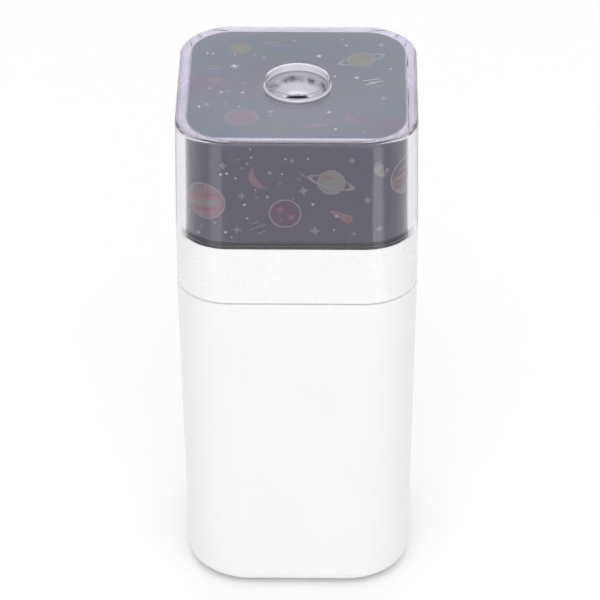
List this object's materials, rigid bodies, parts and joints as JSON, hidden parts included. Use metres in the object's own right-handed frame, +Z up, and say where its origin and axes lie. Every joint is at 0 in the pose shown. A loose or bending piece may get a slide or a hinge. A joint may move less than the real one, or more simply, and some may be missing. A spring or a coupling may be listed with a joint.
{
  "type": "planetarium projector",
  "caption": "Square desk-top mist humidifier with a clear cap over a dark liner printed with a night sky, which lamps inside throw on the ceiling.",
  "frame": {"origin": "middle of the stand plane under the pads", "axes": "+Z up, -Y towards the front, +Y towards the socket and the button"},
  "size_m": [0.072, 0.0725, 0.1626],
  "materials": {
    "tank_white": "gloss",
    "shell_white": "gloss",
    "inner_white": "satin",
    "clear_plastic": "polished clear",
    "dark_print": "dark printed film",
    "dark_deck": "satin",
    "pad_rubber": "matte",
    "silicone": "matte",
    "black_silicone": "matte",
    "cotton": "felted",
    "steel": "plain",
    "piezo": "silvered",
    "board_green": "solder mask",
    "board_white": "solder mask",
    "chip_black": "matte",
    "ferrite": "matte",
    "can_metal": "sleeved",
    "ceramic_chip": "plain",
    "plug_white": "plain",
    "contact_gold": "plated",
    "lamp_white": "plain",
    "phosphor": "clear gel",
    "lead_red": "plain"
  },
  "bodies": {
    "tank": {"tank_cup": "tank_white", "rubber_pads": "pad_rubber"},
    "head": {"head_base": "inner_white", "tank_seal": "silicone", "base_screws": "steel", "mist_tower": "inner_white", "tower_oring": "silicone", "tower_screws": "steel", "disc_gasket": "black_silicone", "piezo_ring": "piezo", "mesh_plate": "steel", "disc_cap": "dark_deck", "cap_screws": "steel", "funnel_seal": "black_silicone", "disc_leads": "lead_red", "head_shell": "shell_white", "main_board": "board_green", "board_screws": "steel", "driver_chip": "chip_black", "control_chip": "chip_black", "inductors": "ferrite", "capacitors": "can_metal", "small_parts": "ceramic_chip", "lead_plugs": "plug_white", "usb_socket": "steel", "usb_tongue": "chip_black", "usb_contacts": "contact_gold", "switch_body": "chip_black", "lamp_deck": "dark_deck", "deck_screws": "steel", "lamp_board": "board_white", "lamps": "lamp_white", "lamp_lenses": "phosphor", "lamp_screws": "steel", "lamp_leads": "lead_red"},
    "cover": {"clear_cover": "clear_plastic", "printed_liner": "dark_print"},
    "button": {"power_button": "shell_white", "switch_plunger": "chip_black"},
    "wick_tube": {"wick_tube": "inner_white", "wick": "cotton", "wick_spring": "steel"}
  },
  "joints": [
    {"name": "head_lift", "type": "slide", "parent": "tank", "child": "head", "axis": [0, 0, 1], "range_m": [0, 0.11]},
    {"name": "cover_lift", "type": "slide", "parent": "head", "child": "cover", "axis": [0, 0, 1], "range_m": [0, 0.045]},
    {"name": "button_press", "type": "slide", "parent": "head", "child": "button", "axis": [0, -1, 0], "range_m": [0, 0.0003], "stiffness_N_per_m": 4000},
    {"name": "wick_tube_turn", "type": "hinge", "parent": "head", "child": "wick_tube", "pos_m": [0, 0, 0.0978], "axis": [0, 0, 1], "range_deg": [0, 90]}
  ]
}
